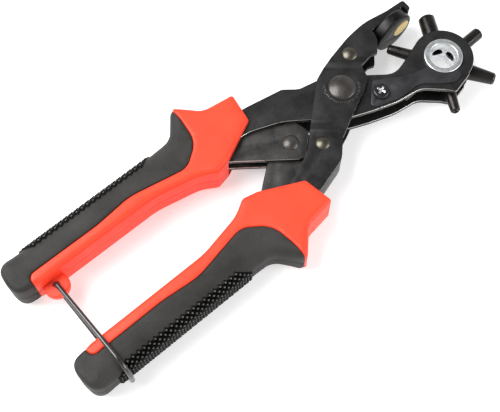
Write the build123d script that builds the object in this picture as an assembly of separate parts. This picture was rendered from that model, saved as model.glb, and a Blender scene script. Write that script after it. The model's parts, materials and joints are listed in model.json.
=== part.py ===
"""Rotary hole punch: compound-lever pliers with a six-tube turret and a brass anvil.

The tool lies flat. It is laid out in a drawing frame with its origin on the main
pivot, +X towards the jaws, +Y towards the upper handle and Z through the
thickness, and at the end every piece is moved so that the origin is at the
bottom centre of the whole tool. All lengths are millimetres.
"""

from build123d import *
import math
import os

# ---- thickness layers, each given as a height above the middle plane
SHEET = 2.0                      # plate thickness of both jaws
PLATE_IN = 4.6                   # inner face of the jaw plates
PLATE_OUT = PLATE_IN + SHEET
BRIDGE_IN = PLATE_OUT + 0.2      # the anvil jaw steps out over the wheel jaw
BRIDGE_OUT = BRIDGE_IN + SHEET
CHEEK_IN = 2.4                   # the upper handle's two cheeks
CHEEK_OUT = 4.4
LEVER_OUT = 2.2                  # the lower handle's single bar
GRIP_HALF = 9.3                  # half thickness of the moulded grips
POCKET_HALF = 6.9                # half height of the pocket inside a grip's guard
GRIP_ROUND = 1.2                 # rounding of the grips' rims
TRIM_X = (-158.0, -94.0)         # stretch of a grip whose outer rim is bevelled
TRIM_CORNERS = [(31.0, 4.6), (23.7, 10.3), (31.0, 10.3)]

# ---- pivots
PIVOT = (0.0, 0.0)               # jaw on jaw
GRIP_AXIS_Y = -4.45              # the two handles mirror about this line
TOGGLE = (-33.7, GRIP_AXIS_Y)    # handle on handle
UPPER_PIN = (-61.0, 15.3)        # wheel jaw on upper handle
LOWER_PIN = (-61.0, 2 * GRIP_AXIS_Y - UPPER_PIN[1])
PIVOT_R = 3.5
TAIL_END_R = 5.6                 # rounded end of a jaw's tail about its handle pin
TAIL_START_X = -18.0             # where the wheel jaw's flat plates become its folded tail
PIN_R = 2.5
TOGGLE_R = 2.5
RUNNING = 0.06                   # radial clearance of a running fit
TOGGLE_CLEAR = 0.35              # radial clearance of the toggle's hole in the lower lever

# ---- turret
WHEEL = (46.25, -17.0)
TIP_REACH = 25.2                 # turret centre to a tube's cutting edge
FIRST_TUBE_DEG = 61.4            # parked half a step away from the anvil
STEP_DEG = 60.0
RING_R = 13.8
HUB_R = 12.8
HUB_HALF = 4.3
AXLE_BORE_R = 6.3
AXLE_R = 7.2
AXLE_DEPTH = 3.0                 # how near the middle plane an eyelet's barrel reaches
FLANGE_R = 8.7
FLANGE_T = 1.0
SLEEVE_HALF = 2.8
WINDOW_R = 2.5                   # the hub's and liner's openings behind the tubes
DETENT_REACH = 11.0
DETENT_DEG = -110.5
# clockwise from the tube beside the anvil: outer radius at the hub, at the tip, and bore
TUBES = [
    (3.85, 3.80, 2.25),
    (2.95, 2.85, 1.50),
    (3.65, 2.70, 1.75),
    (2.85, 2.15, 1.00),
    (3.40, 3.00, 2.00),
    (2.85, 2.15, 1.25),
]

# ---- anvil, facing the turret along the line of a tube that points at it
ANVIL_DEG = FIRST_TUBE_DEG + STEP_DEG / 2
PAD_REACH = TIP_REACH + 0.2
HOLDER_REACH = PAD_REACH + 0.1
HOLDER_R = 10.4
HOLDER_T = 5.2
HOLDER_SHIFT = -4.3              # the holder reaches further towards the main pivot
PAD_R = 4.5
PAD_T = 1.8
NOSE_WALL_X = 51.9               # inner face of the wall that closes the anvil jaw's nose

# ---- steps of the anvil jaw, measured along the direction square to its bend lines
BEND_DEG = 49.87
UPPER_STEP = (9.6, 14.0)
LOWER_STEP = (-20.2, -17.15)

# ---- rivets and screw
JAW_RIVET = (15.2, 11.3)
TAIL_RIVET = (-23.9, -14.3)
INDEX_SCREW = (12.0, -12.45)
SCREW_R = 1.6
SHANK_R = 2.0                    # shank of the jaw and tail rivets
STEM_R = 2.6                     # stem that holds the anvil in its jaw

THROUGH = 20                     # beyond the tool's faces, for a cut that goes right through

# ---- bail
TAB = (-150.0, 9.8)
TAB_R = 5.6
TAB_HALF = 2.0
TAB_HOLE_R = 1.5
WIRE_R = 1.05
BAIL_RISE = GRIP_HALF + WIRE_R + 0.3
BAIL_END_Y = -41.1
BAIL_OVER_Y = -22.0
BAIL_EYE_Z = 3.6
BAIL_END_BEND = 8.4              # the loop's rounded far end


# ---------------------------------------------------------------- helpers
def outline(*corners):
    """A closed face whose corners are (x, y, corner radius)."""
    arcs = []
    count = len(corners)
    for index, (x, y, radius) in enumerate(corners):
        here = Vector(x, y)
        before = Vector(*corners[index - 1][:2])
        after = Vector(*corners[(index + 1) % count][:2])
        to_before = (before - here).normalized()
        to_after = (after - here).normalized()
        half_angle = math.radians(to_before.get_angle(to_after)) / 2
        reach = radius / math.tan(half_angle)
        inward = (to_before + to_after).normalized()
        middle = here + inward * (radius / math.sin(half_angle) - radius)
        arcs.append((here + to_before * reach, middle, here + to_after * reach))
    edges = []
    for index, (start, middle, end) in enumerate(arcs):
        if (end - start).length > 1e-6:
            edges.append(Edge.make_three_point_arc(start, middle, end))
        next_start = arcs[(index + 1) % count][0]
        edges.append(Edge.make_line(end, next_start))
    return Face(Wire(edges))


def prism(face, low, high):
    """A flat face in the middle plane, made into a solid between two heights."""
    return Solid.extrude(face, Vector(0, 0, high - low)).moved(Location((0, 0, low)))


def rod(place, radius, low, high):
    """An upright round bar."""
    return Solid.make_cylinder(radius, high - low, Plane((place[0], place[1], low)))


def tube(place, outer, inner, low, high):
    """An upright round tube."""
    return rod(place, outer, low, high) - rod(place, inner, low - 1, high + 1)


def block(x_range, y_range, z_range):
    """A box given by its two ends along each axis."""
    size = [high - low for low, high in (x_range, y_range, z_range)]
    return Solid.make_box(*size, Plane((x_range[0], y_range[0], z_range[0])))


def flipped(shape):
    """The same shape on the other side of the middle plane."""
    return shape.mirror(Plane.XY)


def mirrored_corners(corners):
    """Corners of the lower handle from those of the upper one."""
    return [(x, 2 * GRIP_AXIS_Y - y, radius) for x, y, radius in reversed(corners)]


def dome(place, radius, height, base):
    """A shallow round rivet head standing on a plate."""
    ball_r = (radius ** 2 + height ** 2) / (2 * height)
    half_angle = math.asin(radius / ball_r) / 2
    top = base + height
    middle = (ball_r * math.sin(half_angle), 0, top - ball_r * (1 - math.cos(half_angle)))
    profile = Wire([
        Edge.make_line((0, 0, base), (radius, 0, base)),
        Edge.make_three_point_arc((radius, 0, base), middle, (0, 0, top)),
        Edge.make_line((0, 0, top), (0, 0, base)),
    ])
    return Solid.revolve(Face(profile), 360, Axis.Z).moved(Location((*place, 0)))


def rivet(place, shank_r, head_r, head_h, seat):
    """A rivet with a domed head on both sides of plates that end at the seat height."""
    head = dome(place, head_r, head_h, seat)
    return rod(place, shank_r, -seat, seat) + head + flipped(head)


def edge_web(plate_face, inward, x_range):
    """The folded edge of a channel: a wall of sheet thickness along one side of its outline."""
    whole = prism(plate_face, -PLATE_OUT, PLATE_OUT)
    wall = whole - whole.moved(Location((*inward, 0)))
    return wall & block(x_range, (-60, 60), (-PLATE_OUT, PLATE_OUT))


def biggest(shape):
    """The largest solid of a result that may hold stray slivers."""
    return max(shape.solids(), key=lambda solid: solid.volume)


# ---------------------------------------------------------------- wheel jaw
def wheel_jaw_face():
    body = outline(
        (-6.0, -12.9, 1.0),
        (3.0, -16.6, 20.0),
        (15.0, -20.6, 25.0),
        (27.2, -22.3, 9.0),
        (35.2, -29.6, 6.0),
        (38.3, -33.6, 1.2),
        (49.5, -31.0, 2.0),
        (52.0, -12.0, 1.0),
        (42.0, -3.9, 1.0),
        (33.0, -6.9, 10.0),
        (23.5, -9.6, 9.0),
        (13.5, -1.8, 3.0),
        (8.0, 4.4, 2.0),
        (0.0, 9.3, 3.0),
        (-14.4, 12.4, 6.0),
        (-20.4, 17.2, 4.0),
        (-40.0, 20.9, 40.0),
        (-61.0, 20.9, 2.0),
        (-61.0, 9.7, 2.0),
        (-46.5, 11.0, 18.0),
        (-30.6, 4.9, 30.0),
        (-20.3, -2.6, 20.0),
        (-13.0, -8.5, 10.0),
    )
    ring = Face(Wire(Edge.make_circle(RING_R, Plane((*WHEEL, 0)))))
    tail_end = Face(Wire(Edge.make_circle(TAIL_END_R, Plane((*UPPER_PIN, 0)))))
    return (body + ring + tail_end).faces()[0]


def wheel_jaw_pieces():
    """The folded sheet of the wheel jaw: two flat plates that meet its channel-shaped tail."""
    face = wheel_jaw_face()
    front = prism(face, PLATE_IN, PLATE_OUT)
    for place, radius in ((WHEEL, AXLE_R), (PIVOT, PIVOT_R), (INDEX_SCREW, SCREW_R)):
        front -= rod(place, radius, -THROUGH, THROUGH)
    front -= rod(UPPER_PIN, PIN_R + RUNNING, -THROUGH, THROUGH)
    rear = flipped(front)
    web = edge_web(face, (0.3, -SHEET), (-58, -21))
    tail_zone = block((-80, TAIL_START_X), (-60, 60), (-THROUGH, THROUGH))
    window = block((-1.9, 1.9), (-1.4, 1.4), (0, THROUGH))
    front_plate = biggest(front - tail_zone - window.moved(detent_location()))
    tail = (front + rear + web) & tail_zone
    return front_plate, biggest(rear - tail_zone), biggest(tail)


def detent_location():
    """Where the index spring's tooth stands on the hub's face, turned to face the axle."""
    angle = math.radians(DETENT_DEG)
    x = WHEEL[0] + DETENT_REACH * math.cos(angle)
    y = WHEEL[1] + DETENT_REACH * math.sin(angle)
    return Location((x, y, 0), (0, 0, DETENT_DEG + 90))


def axle_eyelet():
    """Flanged bush pressed into a jaw plate; its barrel carries the hub."""
    flange = rod(WHEEL, FLANGE_R, PLATE_OUT, PLATE_OUT + FLANGE_T)
    barrel = rod(WHEEL, AXLE_R, AXLE_DEPTH, PLATE_OUT)
    bore = rod(WHEEL, AXLE_BORE_R, 0, THROUGH)
    bush = flange + barrel - bore
    rim = bush.edges().filter_by(GeomType.CIRCLE).group_by(Axis.Z)[-1]
    return bush.fillet(0.4, rim)


def index_spring():
    """Leaf spring on the front plate with a tooth that drops into the hub's dimples."""
    leaf_t = 0.8
    leaf = outline(
        (3.6, -14.6, 1.8),
        (6.0, -16.6, 1.5),
        (17.0, -20.0, 30.0),
        (28.3, -20.3, 8.0),
        (36.5, -27.2, 6.0),
        (41.2, -30.0, 2.5),
        (46.0, -29.3, 1.5),
        (46.0, -20.0, 0.5),
        (38.5, -17.0, 0.5),
        (30.3, -14.9, 12.0),
        (23.0, -11.8, 20.0),
        (13.4, -5.7, 1.2),
    )
    top = PLATE_OUT + leaf_t
    shape = prism(leaf, PLATE_OUT, top) - rod(WHEEL, FLANGE_R + 0.3, 0, THROUGH)
    tooth_low = HUB_HALF + 0.2
    tooth = block((-1.0, 1.0), (-0.9, 0.9), (tooth_low, top))
    shape = shape + tooth.moved(detent_location())
    return biggest(shape - rod(INDEX_SCREW, SCREW_R, 0, THROUGH))


def index_spring_screw():
    """Pan-head cross-recess screw that clamps the leaf spring."""
    head_low = PLATE_OUT + 0.8
    head_h = 2.0
    head = rod(INDEX_SCREW, 3.8, head_low, head_low + head_h)
    head = head.fillet(1.1, head.edges().group_by(Axis.Z)[-1])
    screw = rod(INDEX_SCREW, SCREW_R, -PLATE_OUT, head_low) + head
    recess_low = head_low + 0.8
    for size_x, size_y in ((2.0, 0.45), (0.45, 2.0)):
        arm = block((-size_x, size_x), (-size_y, size_y), (recess_low, THROUGH))
        screw -= arm.moved(Location((*INDEX_SCREW, 0), (0, 0, THROUGH)))
    return screw


def jaw_spacer():
    """Threaded pillar that holds the wheel jaw's two plates apart."""
    return tube(INDEX_SCREW, 3.2, SCREW_R, -PLATE_IN, PLATE_IN)


def main_pivot_rivet():
    return rivet(PIVOT, PIVOT_R, 6.1, 1.8, BRIDGE_OUT + 0.1)


def pivot_sleeve():
    return tube(PIVOT, 5.4, PIVOT_R, -PLATE_IN, PLATE_IN)


def opening_spring():
    """Hairpin spring wound round the pivot sleeve; its legs push the two tails apart."""
    wire_r = 0.6
    coil = tube(PIVOT, 7.0, 5.6, -2.4, 2.4)
    shape = coil
    for start, end in (((-2.0, 6.1), (-26.0, 15.3)), ((-4.0, -4.9), (-15.4, -17.2))):
        run = Vector(end[0] - start[0], end[1] - start[1])
        leg = Solid.make_cylinder(wire_r, run.length, Plane(start, z_dir=run))
        shape = shape + leg
    return shape


# ---------------------------------------------------------------- anvil jaw
def anvil_jaw_face():
    return outline(
        (50.9, 14.1, 0.0),
        (50.9, 10.9, 0.3),
        (52.8, 11.4, 1.0),
        (53.0, 16.6, 1.2),
        (43.0, 17.2, 20.0),
        (31.0, 19.2, 30.0),
        (20.0, 18.2, 40.0),
        (6.0, 14.9, 30.0),
        (-6.2, 9.9, 5.0),
        (-22.0, -4.1, 60.0),
        (-31.5, -13.0, 25.0),
        (-46.5, -19.6, 18.0),
        (LOWER_PIN[0], -18.6, 2.0),
        (LOWER_PIN[0], -29.8, 2.0),
        (-40.0, -30.4, 20.0),
        (-22.5, -25.2, 8.0),
        (-15.6, -18.0, 6.0),
        (-8.6, -14.6, 4.0),
        (6.0, -7.6, 20.0),
        (12.0, -3.6, 3.0),
        (14.2, 3.2, 1.5),
        (21.8, 4.6, 1.5),
        (25.0, 3.6, 1.0),
        (30.4, 9.6, 8.0),
        (31.0, 14.1, 1.0),
    )


def bridge_profile():
    """The anvil jaw's front sheet seen along its bend lines, as (distance, height) corners."""
    far = 120
    low_end, low_start = LOWER_STEP
    high_start, high_end = UPPER_STEP
    upper_side = [
        (-far, PLATE_OUT, 0),
        (low_end, PLATE_OUT, 2.5),
        (low_start, BRIDGE_OUT, 3.0),
        (high_start, BRIDGE_OUT, 4.0),
        (high_end, PLATE_OUT, 3.0),
        (far, PLATE_OUT, 0),
    ]
    lower_side = [
        (far, PLATE_IN, 0),
        (high_end - 0.6, PLATE_IN, 3.0),
        (high_start + 0.4, BRIDGE_IN, 2.0),
        (low_start - 0.4, BRIDGE_IN, 1.5),
        (low_end + 0.6, PLATE_IN, 2.5),
        (-far, PLATE_IN, 0),
    ]
    return outline(*upper_side, *lower_side)


def anvil_jaw_channel():
    face = anvil_jaw_face()
    tail_end = Face(Wire(Edge.make_circle(TAIL_END_R, Plane((*LOWER_PIN, 0)))))
    face = (face + tail_end).faces()[0]
    across = Location(Plane((0, 0, 0), x_dir=bend_direction(), z_dir=bend_line()))
    sheet = Solid.extrude(bridge_profile(), Vector(0, 0, 160)).moved(Location((0, 0, -80)))
    front = biggest(sheet.moved(across) & prism(face, 0, THROUGH))
    jaw_web = edge_web(face, (0, -SHEET), (5.5, 54))
    tail_web = edge_web(face, (-0.7, 1.87), (-58, -18.5)) & block((-58, -18.5), (-40, -20.5), (-THROUGH, THROUGH))
    nose_wall = prism(face, -PLATE_OUT, PLATE_OUT) & block((NOSE_WALL_X, 60), (0, 60), (-PLATE_OUT, PLATE_OUT))
    shape = front + flipped(front) + biggest(jaw_web) + biggest(tail_web) + nose_wall
    shape -= rod(PIVOT, PIVOT_R + RUNNING, -THROUGH, THROUGH)
    shape -= rod(JAW_RIVET, SHANK_R, -THROUGH, THROUGH)
    shape -= rod(TAIL_RIVET, SHANK_R, -THROUGH, THROUGH)
    shape -= rod(LOWER_PIN, PIN_R + RUNNING, -THROUGH, THROUGH)
    return shape - anvil_stem(8.0)


def bend_direction():
    angle = math.radians(BEND_DEG)
    return (math.cos(angle), math.sin(angle), 0)


def bend_line():
    """Along a bend line, turned so that the profile's height stays upwards."""
    angle = math.radians(BEND_DEG)
    return (math.sin(angle), -math.cos(angle), 0)


def anvil_plane(reach, shift):
    """A plane square to the punching line; its Z points away from the turret."""
    angle = math.radians(ANVIL_DEG)
    away = Vector(math.cos(angle), math.sin(angle))
    along = Vector(math.sin(angle), -math.cos(angle))
    centre = Vector(*WHEEL) + away * reach + along * shift
    return Plane(centre, x_dir=along, z_dir=away)


def anvil_stem(length):
    base = anvil_plane(HOLDER_REACH + HOLDER_T - 0.5, HOLDER_SHIFT)
    return Solid.make_cylinder(STEM_R, length, base)


def anvil_holder():
    """Round steel seat with a stem through the jaw's web."""
    disc = Solid.make_cylinder(HOLDER_R, HOLDER_T, anvil_plane(HOLDER_REACH, HOLDER_SHIFT))
    disc = disc.chamfer(0.5, None, disc.edges().filter_by(GeomType.CIRCLE))
    recess = Solid.make_cylinder(PAD_R, PAD_T, anvil_plane(PAD_REACH, 0))
    return disc + anvil_stem(4.2) - recess


def anvil_pad():
    pad = Solid.make_cylinder(PAD_R, PAD_T, anvil_plane(PAD_REACH, 0))
    return pad.chamfer(0.15, None, pad.edges().filter_by(GeomType.CIRCLE))


def jaw_rivet():
    return rivet(JAW_RIVET, SHANK_R, 3.5, 1.3, PLATE_OUT)


def tail_rivet():
    return rivet(TAIL_RIVET, SHANK_R, 3.2, 1.2, PLATE_OUT)


def jaw_rivet_sleeve():
    return tube(JAW_RIVET, 3.0, SHANK_R, -PLATE_IN, PLATE_IN)


def tail_rivet_sleeve():
    return tube(TAIL_RIVET, 2.5, SHANK_R, -PLATE_IN, PLATE_IN)


# ---------------------------------------------------------------- turret
def tube_location(index):
    angle = FIRST_TUBE_DEG - index * STEP_DEG
    return Location((*WHEEL, 0), (0, 0, angle)) * Location((0, 0, 0), (0, 90, 0))


def tube_body(index):
    """A punch tube's outer shape along +Z before it is turned into place."""
    base_r, tip_r, _bore_r = TUBES[index]
    root = AXLE_R + 0.4
    shank = Solid.make_cylinder(base_r, HUB_R - root, Plane((0, 0, root)))
    if base_r == tip_r:
        nose = Solid.make_cylinder(base_r, TIP_REACH - HUB_R, Plane((0, 0, HUB_R)))
    else:
        nose = Solid.make_cone(base_r, tip_r, TIP_REACH - HUB_R, Plane((0, 0, HUB_R)))
    return shank + nose


def punch_tube(index):
    """Steel tube with a sharpened rim and a bore that opens into the hollow axle."""
    _base_r, tip_r, bore_r = TUBES[index]
    body = tube_body(index)
    bevel = min(0.7, tip_r - bore_r - 0.12)
    sharp = Solid.make_cylinder(tip_r + 2, bevel, Plane((0, 0, TIP_REACH - bevel)))
    sharp -= Solid.make_cone(tip_r, tip_r - bevel, bevel, Plane((0, 0, TIP_REACH - bevel)))
    body = body - sharp
    body = body - Solid.make_cylinder(bore_r, TIP_REACH + 2)
    return body.moved(tube_location(index))


def wheel_hub():
    """Steel turret body: it runs on the two eyelets and holds the tubes."""
    hub = rod(WHEEL, HUB_R, -HUB_HALF, HUB_HALF)
    hub = hub.chamfer(0.5, None, hub.edges().filter_by(GeomType.CIRCLE))
    hub -= rod(WHEEL, AXLE_R + RUNNING, AXLE_DEPTH - 0.2, THROUGH)
    hub -= rod(WHEEL, AXLE_R + RUNNING, -THROUGH, 0.2 - AXLE_DEPTH)
    hub -= rod(WHEEL, AXLE_R, -SLEEVE_HALF, SLEEVE_HALF)
    for index in range(len(TUBES)):
        base_r = TUBES[index][0]
        hole = Solid.make_cylinder(base_r, HUB_R, Plane((0, 0, AXLE_R + 0.4)))
        hub -= hole.moved(tube_location(index))
        through = Solid.make_cylinder(WINDOW_R, HUB_R)
        hub -= through.moved(tube_location(index))
        angle = math.radians(DETENT_DEG + STEP_DEG / 2 + index * STEP_DEG)
        place = (WHEEL[0] + DETENT_REACH * math.cos(angle), WHEEL[1] + DETENT_REACH * math.sin(angle))
        hub -= rod(place, 1.1, HUB_HALF - 0.4, THROUGH)
    return biggest(hub)


def slug_sleeve():
    """Bright liner of the hub with a window for every tube's bore."""
    sleeve = tube(WHEEL, AXLE_R, AXLE_BORE_R, -SLEEVE_HALF, SLEEVE_HALF)
    for index in range(len(TUBES)):
        window = Solid.make_cylinder(WINDOW_R, HUB_R)
        sleeve -= window.moved(tube_location(index))
    return sleeve


# ---------------------------------------------------------------- handles
LEVER_CORNERS = [
    (-26.0, 3.4, 4.0),
    (-30.5, 4.6, 3.0),
    (-47.0, 15.5, 12.0),
    (-61.0, 19.6, 12.0),
    (-75.0, 24.6, 8.0),
    (-122.0, 24.6, 3.0),
    (-122.0, 17.4, 3.0),
    (-84.0, 17.4, 10.0),
    (-60.0, 5.6, 20.0),
    (-34.0, -14.6, 3.4),
    (-23.6, -5.2, 5.0),
]

GRIP_CORNERS = [
    (-39.3, 28.6, 1.4),
    (-54.5, 30.8, 8.0),
    (-63.6, 40.6, 1.4),
    (-66.4, 39.0, 2.0),
    (-74.0, 29.9, 8.0),
    (-88.0, 29.7, 20.0),
    (-165.0, 29.9, 6.0),
    (-166.3, 20.0, 12.0),
    (-165.0, 13.6, 5.0),
    (-154.0, 12.3, 12.0),
    (-96.0, 12.0, 40.0),
    (-75.0, 7.6, 20.0),
    (-68.0, 3.4, 3.0),
    (-61.0, 5.0, 1.5),
    (-41.8, 14.3, 1.2),
]

COVER_CORNERS = [
    (-64.6, 60.0, 0.0),
    (-180.0, 60.0, 0.0),
    (-180.0, 0.0, 0.0),
    (-157.4, 0.0, 0.0),
    (-157.4, 17.5, 3.0),
    (-122.0, 17.2, 60.0),
    (-104.0, 18.8, 30.0),
    (-77.0, 13.4, 9.0),
    (-66.4, 21.0, 12.0),
    (-64.6, 33.0, 30.0),
]

POCKET_CORNERS = [
    (-30.0, 25.4, 0.0),
    (-67.0, 25.4, 3.0),
    (-70.0, 16.0, 6.0),
    (-68.5, 8.4, 2.0),
    (-61.2, 4.9, 0.0),
    (-45.0, -20.0, 0.0),
    (-30.0, -20.0, 0.0),
]


def side_trim():
    """What the cover's rounding takes off the long outer rim of the upper grip."""
    x_start, x_end = TRIM_X
    profile = Wire.make_polygon([(x_start, *corner) for corner in TRIM_CORNERS])
    upper = Solid.extrude(Face(profile), Vector(x_end - x_start, 0, 0))
    return [upper, flipped(upper)]


def grip_blank(corners, tab):
    blank = prism(outline(*corners), -GRIP_HALF, GRIP_HALF)
    rims = blank.edges().group_by(Axis.Z)
    blank = blank.fillet(GRIP_ROUND, rims[0] + rims[-1])
    for trim in side_trim():
        blank -= trim if tab else trim.mirror(Plane((0, GRIP_AXIS_Y, 0), z_dir=(0, 1, 0)))
    if tab:
        blank = blank + rod(TAB, TAB_R, -TAB_HALF, TAB_HALF) - rod(TAB, TAB_HOLE_R, -THROUGH, THROUGH)
    return blank


def grip_pieces(corner_map, tab, steel):
    """The hard inner moulding and the soft outer cover of one grip."""
    blank = grip_blank(corner_map(GRIP_CORNERS), tab)
    blank -= prism(outline(*corner_map(POCKET_CORNERS)), -POCKET_HALF, POCKET_HALF)
    for piece in steel:
        blank -= piece
    region = prism(outline(*corner_map(COVER_CORNERS)), -THROUGH, THROUGH)
    return biggest(blank - region), biggest(blank & region)


def same_corners(corners):
    """Corners of the upper handle, as they stand."""
    return corners


def upper_cheek():
    plate = prism(outline(*LEVER_CORNERS), CHEEK_IN, CHEEK_OUT)
    plate -= rod(TOGGLE, TOGGLE_R, -THROUGH, THROUGH)
    return plate - rod(UPPER_PIN, PIN_R, -THROUGH, THROUGH)


def lower_lever():
    bar = prism(outline(*mirrored_corners(LEVER_CORNERS)), -LEVER_OUT, LEVER_OUT)
    bar -= rod(TOGGLE, TOGGLE_R + TOGGLE_CLEAR, -THROUGH, THROUGH)
    return bar - rod(LOWER_PIN, PIN_R, -THROUGH, THROUGH)


def upper_lever_spacer():
    return tube(UPPER_PIN, 4.2, PIN_R, -CHEEK_IN, CHEEK_IN)


def toggle_rivet():
    return rivet(TOGGLE, TOGGLE_R, 3.75, 1.5, CHEEK_OUT)


def handle_pin(place):
    return rod(place, PIN_R, -PLATE_OUT, PLATE_OUT)


def lower_pin_washer():
    return tube(LOWER_PIN, 4.4, PIN_R, LEVER_OUT, PLATE_IN - 0.1)


# ---------------------------------------------------------------- bail
def bail_half():
    """Upper half of the wire loop, from the tab's hole over the lower grip and down its side."""
    corners = [
        Vector(TAB[0], TAB[1], 0),
        Vector(TAB[0], TAB[1], BAIL_EYE_Z),
        Vector(TAB[0], BAIL_OVER_Y, BAIL_RISE),
        Vector(TAB[0], BAIL_END_Y, BAIL_RISE),
        Vector(TAB[0], BAIL_END_Y, 0),
    ]
    path = FilletPolyline(*corners, radius=[2.0, 10.0, BAIL_END_BEND])
    section = Face(Wire(Edge.make_circle(WIRE_R, Plane(corners[0], z_dir=(0, 0, 1)))))
    return sweep(section, path=path)


def bail():
    upper = bail_half().solids()[0]
    return upper + flipped(upper)


# ---------------------------------------------------------------- assembly
def build():
    cheek = upper_cheek()
    lever = lower_lever()
    bush = axle_eyelet()
    washer = lower_pin_washer()
    upper_body, upper_cover = grip_pieces(same_corners, True, [cheek, flipped(cheek)])
    lower_body, lower_cover = grip_pieces(mirrored_corners, False, [lever])
    jaw_front, jaw_rear, jaw_tail = wheel_jaw_pieces()
    nodes = {
        "wheel_jaw_front": jaw_front,
        "wheel_jaw_rear": jaw_rear,
        "wheel_jaw_tail": jaw_tail,
        "axle_eyelet_front": bush,
        "axle_eyelet_rear": flipped(bush),
        "index_spring": index_spring(),
        "index_spring_screw": index_spring_screw(),
        "jaw_spacer": jaw_spacer(),
        "main_pivot_rivet": main_pivot_rivet(),
        "pivot_sleeve": pivot_sleeve(),
        "opening_spring": opening_spring(),
        "wheel_hub": wheel_hub(),
        "slug_sleeve": slug_sleeve(),
        "anvil_jaw_channel": anvil_jaw_channel(),
        "anvil_holder": anvil_holder(),
        "anvil_pad": anvil_pad(),
        "jaw_rivet": jaw_rivet(),
        "jaw_rivet_sleeve": jaw_rivet_sleeve(),
        "tail_rivet": tail_rivet(),
        "tail_rivet_sleeve": tail_rivet_sleeve(),
        "upper_lever_front": cheek,
        "upper_lever_rear": flipped(cheek),
        "upper_lever_spacer": upper_lever_spacer(),
        "toggle_rivet": toggle_rivet(),
        "upper_handle_pin": handle_pin(UPPER_PIN),
        "upper_grip_body": upper_body,
        "upper_grip_cover": upper_cover,
        "lower_lever": lever,
        "lower_handle_pin": handle_pin(LOWER_PIN),
        "lower_pin_washer_front": washer,
        "lower_pin_washer_rear": flipped(washer),
        "lower_grip_body": lower_body,
        "lower_grip_cover": lower_cover,
        "bail": bail(),
    }
    for index in range(len(TUBES)):
        nodes[f"punch_tube_{index + 1}"] = punch_tube(index)
    return nodes


def origin_shift(nodes):
    """The move that brings the whole tool's bottom centre to the origin."""
    boxes = [shape.bounding_box() for shape in nodes.values()]
    low_x = min(box.min.X for box in boxes)
    high_x = max(box.max.X for box in boxes)
    low_y = min(box.min.Y for box in boxes)
    high_y = max(box.max.Y for box in boxes)
    low_z = min(box.min.Z for box in boxes)
    return (-(low_x + high_x) / 2, -(low_y + high_y) / 2, -low_z)


NODES = build()
SHIFT = origin_shift(NODES)

os.makedirs("parts", exist_ok=True)
for name, shape in NODES.items():
    placed = shape.moved(Location(SHIFT))
    export_step(placed, f"parts/{name}.step")
print("nodes", len(NODES), "shift", [round(value, 4) for value in SHIFT])
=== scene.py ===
"""Looks of the rotary hole punch: finished metal, moulded two-colour grips, studio.

Places are millimetres in the tool's own frame: the origin is the main pivot in the
middle plane, +X points to the jaws, +Y to the upper handle and +Z up. The function
at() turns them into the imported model's frame, in metres.
"""

import json
import math

import bmesh
import bpy
import numpy as np
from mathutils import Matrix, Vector
from mathutils.geometry import delaunay_2d_cdt


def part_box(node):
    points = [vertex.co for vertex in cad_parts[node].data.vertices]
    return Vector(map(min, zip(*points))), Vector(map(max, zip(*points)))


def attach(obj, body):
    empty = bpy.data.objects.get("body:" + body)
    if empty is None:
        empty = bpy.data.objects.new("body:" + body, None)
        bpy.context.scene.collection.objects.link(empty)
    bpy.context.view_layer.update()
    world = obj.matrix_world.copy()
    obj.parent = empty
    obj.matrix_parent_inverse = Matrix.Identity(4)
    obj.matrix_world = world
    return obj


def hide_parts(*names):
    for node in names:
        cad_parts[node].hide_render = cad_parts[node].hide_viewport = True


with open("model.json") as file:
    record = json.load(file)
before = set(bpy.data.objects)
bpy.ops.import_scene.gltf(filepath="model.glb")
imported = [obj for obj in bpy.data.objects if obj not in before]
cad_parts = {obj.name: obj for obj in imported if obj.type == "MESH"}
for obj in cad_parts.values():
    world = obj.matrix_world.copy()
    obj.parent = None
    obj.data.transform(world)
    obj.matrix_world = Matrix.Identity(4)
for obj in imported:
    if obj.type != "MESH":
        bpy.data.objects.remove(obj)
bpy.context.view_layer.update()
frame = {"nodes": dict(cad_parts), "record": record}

MM = 0.001
NODES = frame["nodes"]
BODIES = frame["record"]["behaviour"]["bodies"]


def centre(node):
    low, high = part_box(node)
    return (low + high) / 2


PIVOT = centre("main_pivot_rivet")


def at(x, y, z=0.0):
    """A place in the tool's frame, in millimetres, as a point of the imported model."""
    return PIVOT + Vector((x, y, z)) * MM


def in_tool(point):
    """The tool's frame, in millimetres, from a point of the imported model."""
    return (point - PIVOT) / MM


def size(node):
    """A node's box in millimetres."""
    low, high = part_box(node)
    return (high - low) / MM


# the lower grip mirrors the upper one about this Y
GRIP_AXIS_Y = in_tool(centre("toggle_rivet")).y
GRIP_HALF = size("upper_grip_body").z / 2
PUNCHING = (centre("anvil_pad") - centre("wheel_hub")).normalized()
TUBES = 6

# corners closer than this are one corner, in metres
WELD = 0.000002
SLIVER = 0.0000005
# edges that turn more than this stay sharp, in degrees
METAL_SHARP = 28
GRIP_SHARP = 34


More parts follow.
